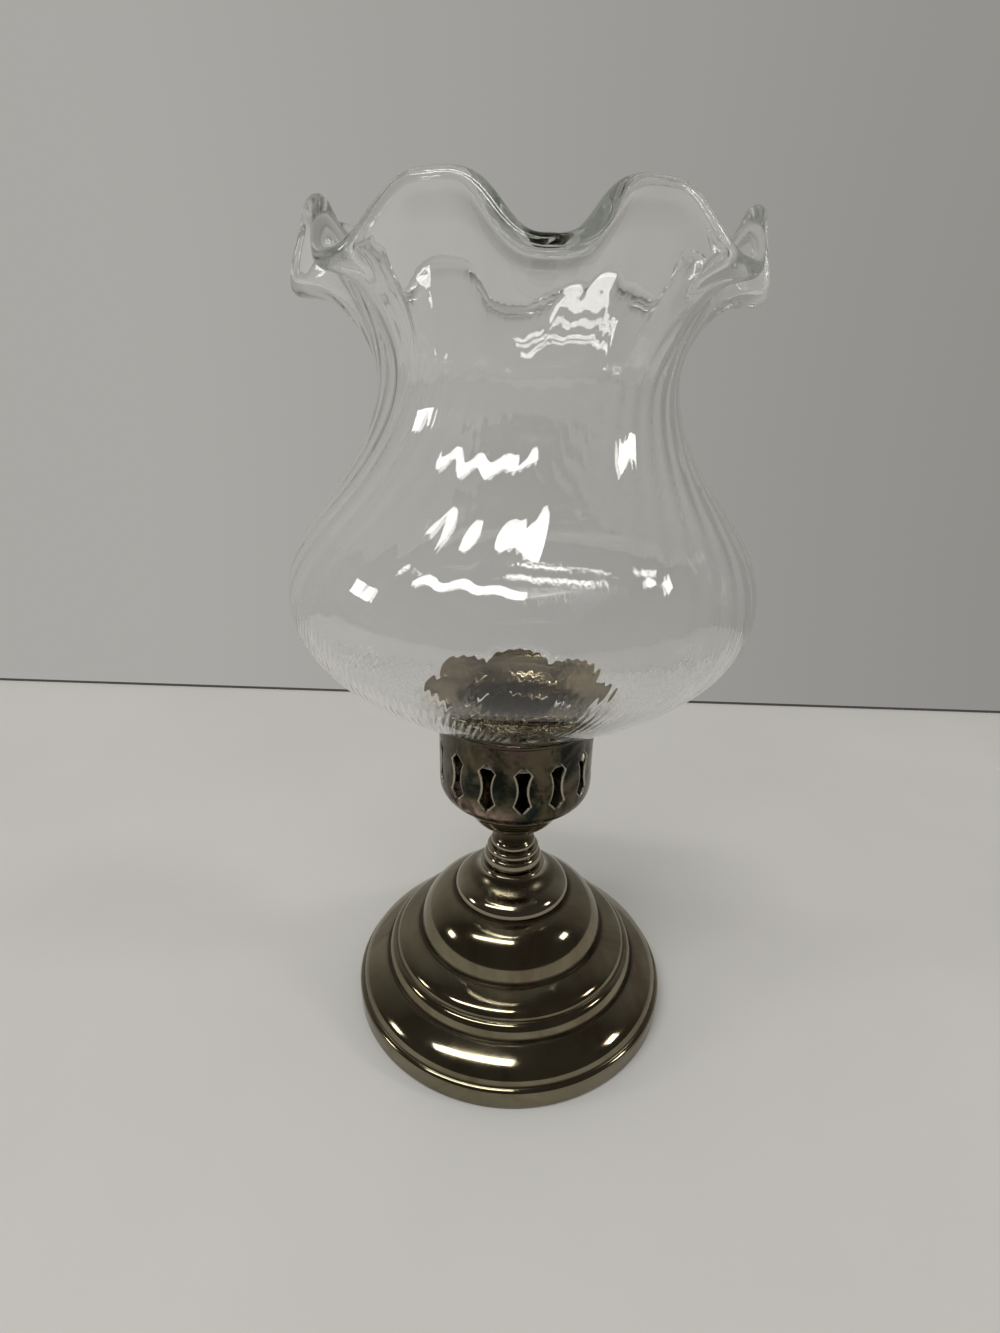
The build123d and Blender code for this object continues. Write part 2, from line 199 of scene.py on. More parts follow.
# Ceiling lights as (name, place, size, turn, whether the shade is left out or lit alone), and side lights
LIGHT_RADIANCE = 14.0
LIGHT_COLOUR = (1.0, 0.985, 0.95)
CEILING = 1.8
CEILING_LIGHTS = (
    ("key", (-0.62, -0.88), (1.5, 0.22), math.radians(-9.7), "EXCLUDE"),
    ("glass_key", (-0.49, -0.65), (1.5, 0.20), math.radians(-16.0), "INCLUDE"),
    ("glass_front", (-0.95, -1.36), (2.2, 0.27), math.radians(-18.9), "INCLUDE"),
)
SIDE_LIGHTS = (
    ("right", (2.15, -0.38, 1.42)),
    ("left", (-2.35, -0.41, 1.02)),
)
SIDE_LIGHT_SIZE = (0.36, 0.36)
SIDE_LIGHT_TARGET = (0.0, 0.0, 0.1)


def top_of(node):
    """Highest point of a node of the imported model."""
    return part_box(node)[1].z


def bottom_of(node):
    """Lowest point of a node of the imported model."""
    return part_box(node)[0].z


def radius_of(node):
    """Largest reach of a node along X."""
    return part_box(node)[1].x


def between(first, last, share):
    """Value at a share of the way from the first to the last."""
    return first + share * (last - first)


def arc(centre, radii, start, end, count=16):
    """Points on an ellipse in the (radius, height) plane, between two angles in degrees."""
    angles = np.radians(np.linspace(start, end, count))
    across = centre[0] + radii[0] * np.cos(angles)
    up = centre[1] + radii[1] * np.sin(angles)
    return list(zip(across.tolist(), up.tolist()))


def half_round(foot, base, depth, height, count):
    """Bead that swells by a depth from a foot radius, from its base up."""
    return arc((foot, base + height / 2), (depth, height / 2), -90, 90, count)


def bezier(points, count=24):
    """Points on a cubic curve that starts and ends at the first and last of four points."""
    start, leaving, arriving, end = np.array(points, float)
    share = np.linspace(0.0, 1.0, count)[:, None]
    rest = 1.0 - share
    curve = rest ** 3 * start + 3 * share * rest ** 2 * leaving
    curve += 3 * share ** 2 * rest * arriving + share ** 3 * end
    return curve.tolist()


def lengths_along(points):
    """Length of a line from its start to each of its points."""
    return np.concatenate([[0.0], np.cumsum(np.linalg.norm(np.diff(points, axis=0), axis=1))])


def directions_along(line):
    """Unit direction of a line at each of its points."""
    along = np.gradient(line, axis=0)
    return along / np.linalg.norm(along, axis=1, keepdims=True)


def spread(points, step):
    """Evenly spaced points along a line."""
    points = np.array(points, float)
    along = lengths_along(points)
    count = max(2, int(round(along[-1] / step)) + 1)
    places = np.linspace(0.0, along[-1], count)
    return np.stack([np.interp(places, along, values) for values in points.T], axis=1)


def smoothed(points, reach, step):
    """Average of each point with its neighbours within about reach; the ends stay."""
    half = int(math.ceil(3 * reach / step))
    weights = np.exp(-0.5 * (np.arange(-half, half + 1) * step / reach) ** 2)
    weights /= weights.sum()
    before = 2 * points[0] - points[half:0:-1]
    after = 2 * points[-1] - points[-2:-half - 2:-1]
    padded = np.concatenate([before, points, after])
    return np.stack([np.convolve(values, weights, "valid") for values in padded.T], axis=1)


def soften(points):
    """Line with the rounded corners of spun metal, and how deep each point lies in a groove (-1 to 1)."""
    fine = LINE_STEP / FINE_STEPS
    line = smoothed(spread(points, fine), EDGE_SOFTNESS, fine)
    groove = smoothed(line, GROOVE_REACH, fine) - line
    along = directions_along(line)
    depth = groove[:, 0] * along[:, 1] - groove[:, 1] * along[:, 0]
    return line[::FINE_STEPS], np.clip(depth[::FINE_STEPS] / EDGE_SOFTNESS, -1.0, 1.0)


def spline_weights(knots, places):
    """Matrix that turns values at the knots into values of a natural cubic spline at the places."""
    count = len(knots)
    gaps = np.diff(knots)
    bend = np.zeros((count, count))
    load = np.zeros((count, count))
    bend[0, 0] = bend[-1, -1] = 1.0
    for knot in range(1, count - 1):
        before = gaps[knot - 1]
        after = gaps[knot]
        bend[knot, knot - 1:knot + 2] = before, 2 * (before + after), after
        load[knot, knot - 1:knot + 2] = 6 / before, -6 / before - 6 / after, 6 / after
    second = np.linalg.solve(bend, load)
    span = np.clip(np.searchsorted(knots, places) - 1, 0, count - 2)
    left = ((knots[span + 1] - places) / gaps[span])[:, None]
    right = 1.0 - left
    unit = np.eye(count)
    width = (gaps[span] ** 2 / 6)[:, None]
    weights = left * unit[span] + right * unit[span + 1]
    weights += width * (left ** 3 - left) * second[span]
    weights += width * (right ** 3 - right) * second[span + 1]
    return weights


def mesh_object(name, points, faces, material, attributes=None):
    """Smooth-shaded mesh object made of points and faces, with a value for each point in each attribute."""
    mesh = bpy.data.meshes.new(name)
    mesh.from_pydata(points.reshape(-1, 3).tolist(), [], faces.reshape(-1, faces.shape[-1]).tolist())
    mesh.polygons.foreach_set("use_smooth", [True] * len(mesh.polygons))
    for label, values in (attributes or {}).items():
        attribute = mesh.attributes.new(label, "FLOAT", "POINT")
        attribute.data.foreach_set("value", values.astype(np.float32).ravel())
    mesh.materials.append(material)
    piece = bpy.data.objects.new(name, mesh)
    bpy.context.scene.collection.objects.link(piece)
    return piece


def grid_faces(rows, columns):
    """Faces of a grid that closes on itself along both its rows and its columns."""
    row, column = np.meshgrid(np.arange(rows), np.arange(columns), indexing="ij")
    next_row = (row + 1) % rows
    next_column = (column + 1) % columns
    return np.stack([
        row * columns + column,
        next_row * columns + column,
        next_row * columns + next_column,
        row * columns + next_column,
    ], axis=-1)


def lathe(name, outside, inside, material, shaded_at=None):
    """Turned piece whose line goes up outside and back down inside; painted shade darkens a ring at the
    radius shaded_at.
    """
    line, groove = soften(outside)
    # Painted shade: a dark ring where the bell's rim sits over the dome
    if shaded_at:
        groove = np.maximum(groove, np.exp(-((line[:, 0] - shaded_at) / BELL_SHADE_WIDTH) ** 2))
    back = spread(inside, 3 * LINE_STEP)
    loop = np.concatenate([line, back])
    depth = np.concatenate([groove, np.zeros(len(back))])
    angles = np.linspace(0.0, 2 * math.pi, SEGMENTS, endpoint=False)
    points = np.stack([
        np.outer(np.cos(angles), loop[:, 0]),
        np.outer(np.sin(angles), loop[:, 0]),
        np.tile(loop[:, 1], (SEGMENTS, 1)),
    ], axis=-1)
    grooves = np.tile(depth, (SEGMENTS, 1))
    return mesh_object(name, points, grid_faces(SEGMENTS, len(loop)), material, {"groove": grooves})


def weld(piece):
    """Joins points that lie on each other and drops faces that close up to nothing."""
    shape = bmesh.new()
    shape.from_mesh(piece.data)
    bmesh.ops.remove_doubles(shape, verts=shape.verts, dist=1e-6)
    bmesh.ops.dissolve_degenerate(shape, edges=shape.edges, dist=1e-7)
    shape.to_mesh(piece.data)
    shape.free()


def stand_for(piece, node, body):
    """The piece rides on a body and stands in for a node, whose imported part is hidden."""
    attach(piece, body)
    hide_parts(node)


class Shading:
    """Nodes of a material or of the world."""

    def __init__(self, tree):
        self.tree = tree

    def add(self, kind, inputs=None, **settings):
        """New node with its settings and inputs; an input is a value or another node's output."""
        node = self.tree.nodes.new("ShaderNode" + kind)
        for key, value in settings.items():
            setattr(node, key, value)
        self.feed(node, inputs or {})
        return node

    def feed(self, node, inputs):
        """Sets or links a node's inputs."""
        for key, value in inputs.items():
            if isinstance(value, bpy.types.NodeSocket):
                self.tree.links.new(value, node.inputs[key])
            else:
                node.inputs[key].default_value = value

    def ramp(self, value, low, high, start=0.0, end=1.0):
        """Value mapped from low..high to start..end, and held there."""
        return self.add("MapRange", {
            "Value": value, "From Min": low, "From Max": high, "To Min": start, "To Max": end,
        }).outputs["Result"]

    def mix(self, share, first, second):
        """Colour mixed from two by a share; a Mix node has its colours at inputs 6 and 7 and output 2."""
        return self.add("Mix", {0: share, 6: first, 7: second}, data_type="RGBA").outputs[2]

    def maths(self, operation, first, second=0.0):
        """Operation on one or two values."""
        return self.add("Math", {0: first, 1: second}, operation=operation).outputs[0]

    def plus(self, first, second):
        """Sum of two values."""
        return self.maths("ADD", first, second)

    def times(self, first, second):
        """Product of two values."""
        return self.maths("MULTIPLY", first, second)


class Finish(Shading):
    """One material with its surface."""

    def __init__(self, name):
        self.material = bpy.data.materials.new(name)
        self.material.use_nodes = True
        super().__init__(self.material.node_tree)
        self.surface = self.tree.nodes["Principled BSDF"]
        self.output = self.tree.nodes["Material Output"]
        self.place = self.add("TexCoord").outputs["Object"]

    def attribute(self, name):
        """Value that the mesh holds for each of its points."""
        return self.add("Attribute", attribute_name=name).outputs["Fac"]

    def noise(self, scale, detail=3.0, roughness=0.55, place=None, distortion=0.0):
        """Noise value around 0.5."""
        return self.add("TexNoise", {
            "Vector": place or self.place, "Scale": scale, "Detail": detail,
            "Roughness": roughness, "Distortion": distortion,
        }).outputs["Fac"]

    def mapped(self, **inputs):
        """Place that is moved, or has each axis scaled by itself."""
        return self.add("Mapping", {"Vector": self.place, **inputs}).outputs["Vector"]

    def bump(self, height, strength, distance):
        """Normal bent by a height."""
        inputs = {"Height": height, "Strength": strength, "Distance": distance}
        return self.add("Bump", inputs).outputs["Normal"]


def colour(red, green, blue):
    """Opaque colour from linear red, green and blue."""
    return (red, green, blue, 1.0)


def silver_plate():
    """Old silver plate: a warm grey mirror with cloudy tarnish, darkened in grooves by tarnish and painted
    shade, and lighter where edges are worn.
    """
    dull = colour(0.165, 0.145, 0.094)
    clean = colour(0.295, 0.266, 0.186)
    brown = colour(0.165, 0.112, 0.072)
    speckle = colour(0.105, 0.085, 0.055)
    rubbed = colour(0.44, 0.40, 0.32)
    shade_and_soot = colour(0.028, 0.021, 0.013)
    look = Finish("silver_plate")
    clouds = look.noise(26.0, detail=5.0, roughness=0.6, distortion=0.6)
    spots = look.noise(170.0, roughness=0.6)
    flattened = look.mapped(Scale=(1.0, 1.0, 0.6))
    stains = look.noise(38.0, detail=5.0, roughness=0.65, place=flattened, distortion=1.2)
    turning = look.noise(1.0, detail=4.0, roughness=0.6, place=look.mapped(Scale=(60.0, 60.0, 2600.0)))
    groove = look.attribute("groove")
    # Painted shade with some tarnish: concave grooves and the ring under the bell's rim turn dark and
    # rougher
    grime_and_shade = look.times(look.ramp(groove, 0.05, 0.8), look.ramp(clouds, 0.25, 0.6, 0.55, 1.0))
    worn = look.ramp(groove, -0.15, -0.9)
    tone = look.mix(look.ramp(clouds, 0.32, 0.68), dull, clean)
    tone = look.mix(look.ramp(stains, 0.50, 0.66, 0.0, 0.7), tone, brown)
    tone = look.mix(look.ramp(spots, 0.62, 0.78, 0.0, 0.4), tone, speckle)
    tone = look.mix(look.times(worn, 0.5), tone, rubbed)
    tone = look.mix(grime_and_shade, tone, shade_and_soot)
    roughness = look.ramp(clouds, 0.3, 0.7, 0.115, 0.055)
    roughness = look.plus(roughness, look.ramp(spots, 0.5, 0.8, 0.0, 0.06))
    roughness = look.plus(roughness, look.times(grime_and_shade, 0.35))
    look.feed(look.surface, {
        "Base Color": tone, "Metallic": 1.0, "Roughness": roughness,
        "Normal": look.bump(turning, strength=0.035, distance=0.12 * MM),
    })
    return look.material


def tarnished_plate():
    """Heavily tarnished plate: olive, green-black, violet and worn copper patches, with a painted highlight
    along the slot edges.
    """
    black = colour(0.013, 0.014, 0.010)
    olive = colour(0.105, 0.090, 0.056)
    violet = colour(0.110, 0.078, 0.064)
    green = colour(0.012, 0.021, 0.019)
    copper = colour(0.66, 0.46, 0.39)
    slot_highlight = colour(0.52, 0.475, 0.385)
    look = Finish("tarnished_plate")
    clouds = look.noise(75.0, detail=5.0, roughness=0.62, distortion=0.9)
    patches = look.noise(95.0, detail=4.0, roughness=0.6, place=look.mapped(Location=(0.3, 0.1, 0.7)))
    spots = look.noise(230.0, detail=4.0, roughness=0.65)
    axes = look.add("SeparateXYZ", {"Vector": look.place})
    low = look.ramp(axes.outputs["Z"], *RUBBED_TOP)
    from_right = look.ramp(axes.outputs["X"], *RUBBED_RIGHT)
    from_left = look.ramp(axes.outputs["X"], *RUBBED_LEFT)
    bare = look.times(look.times(low, look.times(from_right, from_left)), look.ramp(spots, 0.42, 0.58))
    tone = look.mix(look.ramp(clouds, 0.42, 0.60), black, olive)
    tone = look.mix(look.ramp(patches, 0.56, 0.64, 0.0, 0.8), tone, violet)
    tone = look.mix(look.ramp(patches, 0.45, 0.37, 0.0, 0.85), tone, green)
    tone = look.mix(bare, tone, copper)
    # Painted highlight: lighter metal along the rounded edges of the slots
    tone = look.mix(look.times(look.attribute("edge"), 0.75), tone, slot_highlight)
    roughness = look.ramp(clouds, 0.3, 0.7, 0.30, 0.14)
    roughness = look.plus(roughness, look.ramp(spots, 0.4, 0.75, 0.0, 0.12))
    look.feed(look.surface, {
        "Base Color": tone, "Metallic": 1.0, "Roughness": roughness,
        "Normal": look.bump(spots, strength=0.08, distance=0.2 * MM),
    })
    return look.material


def golden_plate():
    """Thin brass with worn plating: brown-gold with dark bronze clouds."""
    bronze = colour(0.095, 0.078, 0.050)
    gold = colour(0.46, 0.385, 0.255)
    speckle = colour(0.045, 0.035, 0.022)
    look = Finish("golden_plate")
    clouds = look.noise(60.0, detail=5.0, roughness=0.6, distortion=0.5)
    spots = look.noise(320.0, roughness=0.6)
    tone = look.mix(look.ramp(clouds, 0.35, 0.65), bronze, gold)
    tone = look.mix(look.ramp(spots, 0.6, 0.75, 0.0, 0.5), tone, speckle)
    roughness = look.ramp(clouds, 0.3, 0.7, 0.16, 0.07)
    roughness = look.plus(roughness, look.ramp(spots, 0.45, 0.8, 0.0, 0.08))
    look.feed(look.surface, {
        "Base Color": tone, "Metallic": 1.0, "Roughness": roughness,
        "Normal": look.bump(look.noise(420.0, detail=2.0), strength=0.04, distance=0.2 * MM),
    })
    return look.material


def bare_steel():
    """Zinc-plated steel with a faint crystal bloom."""
    look = Finish("zinc_steel")
    bloom = look.noise(140.0, detail=4.0, roughness=0.6)
    tone = look.mix(look.ramp(bloom, 0.35, 0.65), colour(0.38, 0.39, 0.40), colour(0.58, 0.59, 0.6))
    look.feed(look.surface, {
        "Base Color": tone, "Metallic": 1.0, "Roughness": look.ramp(bloom, 0.3, 0.7, 0.45, 0.28),
        "Normal": look.bump(look.noise(900.0, detail=2.0), strength=0.1, distance=0.1 * MM),
    })
    return look.material


def cast_iron():
    """Dark sand-cast iron."""
    look = Finish("cast_iron")
    grain = look.noise(650.0, detail=4.0, roughness=0.7)
    clouds = look.ramp(look.noise(40.0), 0.35, 0.65)
    tone = look.mix(clouds, colour(0.045, 0.042, 0.04), colour(0.085, 0.07, 0.058))
    look.feed(look.surface, {
        "Base Color": tone, "Metallic": 0.6, "Roughness": look.ramp(grain, 0.3, 0.7, 0.85, 0.6),
        "Normal": look.bump(grain, strength=0.5, distance=0.4 * MM),
    })
    return look.material


def felt():
    """Dark green felt with short matted fibres."""
    look = Finish("felt")
    fibres = look.noise(900.0, detail=5.0, roughness=0.75, distortion=1.5)
    lit = look.ramp(fibres, 0.35, 0.68)
    tone = look.mix(lit, colour(0.008, 0.018, 0.012), colour(0.035, 0.062, 0.045))
    look.feed(look.surface, {
        "Base Color": tone, "Roughness": 0.95, "Sheen Weight": 0.4, "Sheen Roughness": 0.5,
        "Normal": look.bump(fibres, strength=0.6, distance=0.6 * MM),
    })
    return look.material


def clear_glass():
    """Clear grey-green glass with fine swirled lines; light for the pieces behind it passes through."""
    look = Finish("clear_glass")
    along = look.attribute("along")
    axes = look.add("SeparateXYZ", {"Vector": look.place})
    turn = look.maths("ARCTAN2", axes.outputs["X"], axes.outputs["Y"])
    swirl = look.plus(look.times(turn, float(FINE_RIBS)), look.times(along, FINE_RIBS * RIB_TWIST))
    below_waist = look.ramp(along, 0.47, 0.42, 0.2, 1.0)
    above_neck = look.ramp(along, 0.08, 0.14)
    lines = look.times(look.times(look.maths("SINE", swirl), below_waist), above_neck)
    seeds = look.times(look.noise(85.0, detail=2.0, roughness=0.5), look.ramp(along, 0.05, 0.14, 0.0, 1.5))
    frost = look.times(look.ramp(along, FROSTED_END, 0.8 * FROSTED_END), 0.5)
    look.feed(look.surface, {
        "Base Color": colour(1.0, 1.0, 1.0), "IOR": 1.5,
        "Transmission Weight": look.maths("SUBTRACT", 1.0, frost),
        "Roughness": look.maths("MAXIMUM", look.ramp(look.noise(35.0), 0.35, 0.7, 0.0, 0.012), frost),
        "Normal": look.bump(look.plus(lines, seeds), strength=0.1, distance=0.06 * MM),
    })
    path = look.add("LightPath")
    straight = look.maths("MAXIMUM", path.outputs["Is Shadow Ray"], path.outputs["Is Diffuse Ray"])
    trapped = look.maths("GREATER_THAN", path.outputs["Ray Depth"], TRAPPED_BOUNCES)
    straight = look.maths("MAXIMUM", straight, trapped)
    clear = look.add("BsdfTransparent", {"Color": colour(0.955, 0.96, 0.955)})
    both = look.add("MixShader", {0: straight, 1: look.surface.outputs[0], 2: clear.outputs[0]})
    body = look.add("VolumeAbsorption", {"Color": colour(0.71, 0.745, 0.71), "Density": 20.0})
    look.feed(look.output, {"Surface": both.outputs[0], "Volume": body.outputs[0]})
    return look.material


def foot_line(shift):
    """Mouldings of the foot from its rim to the edge of the rod's hole, moved in and down by shift."""
    edge = radius_of("foot_shell") - shift
    base = bottom_of("foot_shell") - shift
    top = base + RIM_HEIGHT
    line = [(edge, base)]
    line += arc((edge - RIM_ROUND, top - RIM_ROUND), (RIM_ROUND, RIM_ROUND), 0, 90)
    start = edge
    for setback, width, height, shouldered in MOULDINGS:
        start -= setback
        if shouldered:
            line += bezier((
                (start, top),
                (start, top + SHOULDER_START * height),
                (start - SHOULDER_INSET * width, top + SHOULDER_RISE * height),
                (start - width, top + height),
            ))
        else:
            line += arc((start - width, top), (width, height), 0, 90, count=24)
        start -= width
        top += height
    start -= DOME_SETBACK
    width = start - DOME_TOP_RADIUS + shift
    dome_top = top_of("foot_shell") - shift
    line += arc((start - width, top), (width, dome_top - top), 0, 90, count=40)
    line.append((ROD_HOLE, dome_top))
    return line


def make_foot(plate):
    """Hollow foot shell."""
    inside = [(max(radius, ROD_HOLE), height) for radius, height in foot_line(FOOT_WALL)][::-1]
    inside[-1] = (inside[-1][0], bottom_of("foot_shell"))
    piece = lathe("foot", foot_line(0.0), inside, plate, shaded_at=radius_of("bell_cap"))
    stand_for(piece, "foot_shell", "candlestick")


def make_bell(plate):
    """Bell cap over the top of the dome."""
    edge = radius_of("bell_cap")
    base = top_of("foot_shell")
    top = top_of("bell_cap")
    bottom = bottom_of("bell_cap")
    shoulder = base + BELL_SHOULDER_HEIGHT
    skirt_inset = between(edge, BELL_SHOULDER_RADIUS, BELL_SKIRT_INSET)
    waist_inset = between(BELL_SHOULDER_RADIUS, BELL_TOP_RADIUS, BELL_WAIST_INSET)
    skirt = bezier((
        (edge, base),
        (edge, base + BELL_SKIRT_START * BELL_SHOULDER_HEIGHT),
        (skirt_inset, base + BELL_SKIRT_RISE * BELL_SHOULDER_HEIGHT),
        (BELL_SHOULDER_RADIUS, shoulder),
    ))
    waist = bezier((
        (BELL_SHOULDER_RADIUS, shoulder),
        (waist_inset, shoulder + BELL_WAIST_RISE * BELL_SHOULDER_HEIGHT),
        (BELL_TOP_RADIUS + BELL_NECK_FLARE * BELL_SHOULDER_HEIGHT, (shoulder + top) / 2),
        (BELL_TOP_RADIUS, top),
    ))
    outside = [(edge, bottom)] + skirt + waist[1:] + [(ROD_HOLE, top)]
    inside = [(ROD_HOLE, base), (DOME_TOP_RADIUS, base)]
    for radius, height in foot_line(-BELL_CLEARANCE)[::-1]:
        if DOME_TOP_RADIUS + BELL_CLEARANCE < radius < edge and height > bottom:
            inside.append((radius, height))
    piece = lathe("bell", outside, inside, plate)
    stand_for(piece, "bell_cap", "candlestick")


def make_stem(plate):
    """Turned stem: a bead, two rings that step in and a waisted neck."""
    base = bottom_of("stem")
    top = top_of("stem")
    foot = radius_of("stem") - STEM_BEAD_DEPTH
    line = half_round(foot, base, STEM_BEAD_DEPTH, STEM_BEAD_HEIGHT, count=20)
    height = base + STEM_BEAD_HEIGHT
    for ring in range(STEM_RINGS):
        foot = STEM_RING_RADIUS - ring * STEM_RING_STEP - STEM_RING_DEPTH
        line += half_round(foot, height, STEM_RING_DEPTH, STEM_RING_HEIGHT, count=14)
        height += STEM_RING_HEIGHT
    neck = np.array([(foot, height), (STEM_NECK_RADIUS, (height + top) / 2), (STEM_COLLAR_RADIUS, top)])
    line += (spline_weights(np.array([0.0, 0.5, 1.0]), np.linspace(0.0, 1.0, 24)) @ neck).tolist()
    line.append((ROD_HOLE, top))
    piece = lathe("turned_stem", line, [(ROD_HOLE, top), (ROD_HOLE, base)], plate)
    stand_for(piece, "stem", "candlestick")


def make_saucer(plate):
    """Small spun bowl under the gallery."""
    base = bottom_of("cup_saucer")
    top = top_of("cup_saucer")
    width = radius_of("cup_saucer") - SAUCER_FOOT_RADIUS

    def bowl(shift):
        return arc((SAUCER_FOOT_RADIUS, top), (width - shift, top - base - shift), -90, 0, count=30)

    outside = [(ROD_HOLE, base)] + bowl(0.0)
    inside = bowl(SAUCER_WALL)[::-1] + [(ROD_HOLE, base + SAUCER_WALL)]
    piece = lathe("saucer", outside, inside, plate)
    stand_for(piece, "cup_saucer", "candlestick")


def slot_half_width(height):
    """Half the width of a slot at a height above its middle: two pointed lobes joined by a waist."""
    lobe = SLOT_HEIGHT * SLOT_LOBE_SHARE
    away = np.abs(height)
    waist = SLOT_WAIST + (SLOT_LOBE - SLOT_WAIST) * (away / lobe) ** 2
    point = SLOT_LOBE * (SLOT_HEIGHT / 2 - away) / (SLOT_HEIGHT / 2 - lobe)
    return np.maximum(np.where(away < lobe, waist, point), 0.0) / 2


def slot_heights():
    """Heights of the mesh rows of a slot above its middle, with one at the widest part of each lobe."""
    heights = SLOT_HEIGHT / 2 * np.sin(np.linspace(-math.pi / 2, math.pi / 2, SLOT_ROWS))
    lobe = SLOT_HEIGHT * SLOT_LOBE_SHARE
    for widest in (lobe, -lobe):
        heights[np.argmin(abs(heights - widest))] = widest
    return heights


def gallery_section(base, top, slot_rows):
    """Section of the gallery as (radius, height): up outside, over the rolled rim and down inside."""
    bead = GALLERY_WALL / 2 + GALLERY_LIP
    bead_middle = (GALLERY_RADIUS - GALLERY_WALL / 2, top - bead)
    corner_middle = (GALLERY_RADIUS - GALLERY_CORNER, base + GALLERY_CORNER)

    def side(inset):
        wall = GALLERY_RADIUS - inset
        corner = GALLERY_CORNER - inset
        line = [(radius, base + inset) for radius in FLOOR_RADII]
        line += arc(corner_middle, (corner, corner), -90, 0, CORNER_POINTS)
        line += [(wall, height) for height in slot_rows]
        line += [(wall, top - 2 * bead - GALLERY_LIP), (wall, top - 2 * bead)]
        return line

    rim = arc(bead_middle, (bead, bead), *BEAD_ARC, BEAD_POINTS)
    return np.array(side(0.0) + rim + side(GALLERY_WALL)[::-1])


def panel_angles(half_width):
    """Angles of a panel's columns at each row, from edge to edge, with its slot between the middle two."""
    panel = math.pi / SLOT_COUNT
    slot = half_width / GALLERY_RADIUS
    border = (half_width + SLOT_EDGE) / GALLERY_RADIUS
    right = np.array([between(panel, border, share) for share in PANEL_COLUMNS] + [border, slot])
    return np.concatenate([-right, right[::-1]])


def slot_walls(left, right, outer_rows, inner_rows):
    """Faces through the gallery's wall along both sides of a slot, between its left and right columns."""
    outer = outer_rows[:-1]
    inner = inner_rows[:-1]
    next_outer = outer_rows[1:]
    next_inner = inner_rows[1:]
    return np.concatenate([
        left + np.stack([outer, inner, next_inner, next_outer], axis=-1),
        right + np.stack([outer, next_outer, next_inner, inner], axis=-1),
    ])


def make_gallery(plate):
    """Pierced gallery: a ring of panels, each with one slot, over the wall, the corner and the floor."""
    base = bottom_of("gallery")
    heights = slot_heights()
    slot_rows = base + SLOT_BOTTOM + SLOT_HEIGHT / 2 + heights
    section = gallery_section(base, top_of("gallery"), slot_rows)
    rows = len(section)
    outer_rows = len(FLOOR_RADII) + CORNER_POINTS + np.arange(SLOT_ROWS)
    inner_rows = rows - 1 - outer_rows
    half_width = np.zeros(rows)
    half_width[outer_rows] = half_width[inner_rows] = slot_half_width(heights)
    panel = panel_angles(half_width)
    columns = len(panel)
    middle = columns // 2 - 1

    # The edges of a slot are rounded into the wall, with a painted highlight of lighter metal along them
    openness = np.clip(half_width / SLOT_EDGE, 0.0, 1.0)
    into_wall = np.where(np.arange(rows) < rows / 2, -1.0, 1.0)
    radius = np.tile(section[:, 0], (columns, 1))
    radius[middle:middle + 2] += SLOT_EDGE / 2 * into_wall * openness
    edge = np.zeros((columns, rows))
    edge[middle - 1:middle + 3] = openness

    turns = SLOT_PHASE - math.pi / 2 + 2 * math.pi / SLOT_COUNT * np.arange(SLOT_COUNT)
    angles = np.concatenate([panel + turn for turn in turns])
    radii = np.tile(radius, (SLOT_COUNT, 1))
    edges = np.tile(edge, (SLOT_COUNT, 1))
    points = np.stack([
        radii * np.cos(angles),
        radii * np.sin(angles),
        np.tile(section[:, 1], (len(angles), 1)),
    ], axis=-1)
    pierced = np.zeros((len(angles), rows), bool)
    pierced[middle::columns, outer_rows[:-1]] = True
    pierced[middle::columns, inner_rows[1:]] = True
    faces = [grid_faces(len(angles), rows)[~pierced]]
    for slot in range(SLOT_COUNT):
        left = (slot * columns + middle) * rows
        faces.append(slot_walls(left, left + rows, outer_rows, inner_rows))
    piece = mesh_object("pierced_gallery", points, np.concatenate(faces), plate, {"edge": edges})
    weld(piece)
    stand_for(piece, "gallery", "candlestick")


def by_lobe(values, place):
    """Values given lobe by lobe, read at a place counted in lobes."""
    return np.interp(place % LOBES, np.arange(LOBES + 1), np.append(values, values[0]))


def shade_middle(angles):
    """Middle surface of the shade as (angle, place along the wall, 3), its wall, and the share along it."""
    seat = top_of("gallery") + SEAT_GAP
    turn = (angles - LOBE_PHASE) / (2 * math.pi) * LOBES
    turn -= by_lobe(DIP_DRIFT, turn) / 360.0 * LOBES
    swing = ((1.0 + np.cos(2 * math.pi * turn)) / 2) ** DIP_SHARPNESS
    dip = swing ** DIP_SQUARENESS
    dip /= dip + (1.0 - swing) ** DIP_SQUARENESS
    sag = MM * (by_lobe(DIP_SAG, turn) * dip + by_lobe(CREST_SAG, turn - 0.5) * (1.0 - dip))
    neck = [(NECK_RADIUS, -NECK_DEPTH), (NECK_RADIUS, -NECK_DEPTH / 2), (NECK_RADIUS, -NECK_WALL / 2)]
    body = neck + [(radius * MM, height * MM) for radius, height in SHOULDER + BOWL + WAIST]
    body = np.tile(np.array(body), (len(angles), 1, 1))
    rim = between(np.array(CREST) * MM, np.array(DIP) * MM, dip[:, None, None])
    rim[:, :, 1] -= sag[:, None] * np.array(SAG_GROWTH)
    corners = np.concatenate([body, rim], axis=1)
    knots = lengths_along(corners.mean(axis=0))
    places = np.linspace(0.0, knots[-1], SHADE_ROWS)
    line = spline_weights(knots, places) @ corners
    walls = np.full(len(knots), BODY_WALL)
    walls[:len(neck) + len(SHOULDER)] = NECK_WALL
    walls[-len(LIP_SWELLING):] = between(BODY_WALL, LIP_WALL, np.array(LIP_SWELLING))
    wall = np.interp(places, knots, walls) - 2 * SKIN
    points = np.stack([
        line[:, :, 0] * np.sin(angles)[:, None],
        -line[:, :, 0] * np.cos(angles)[:, None],
        line[:, :, 1] + seat,
    ], axis=-1)
    return points, wall, places / knots[-1]


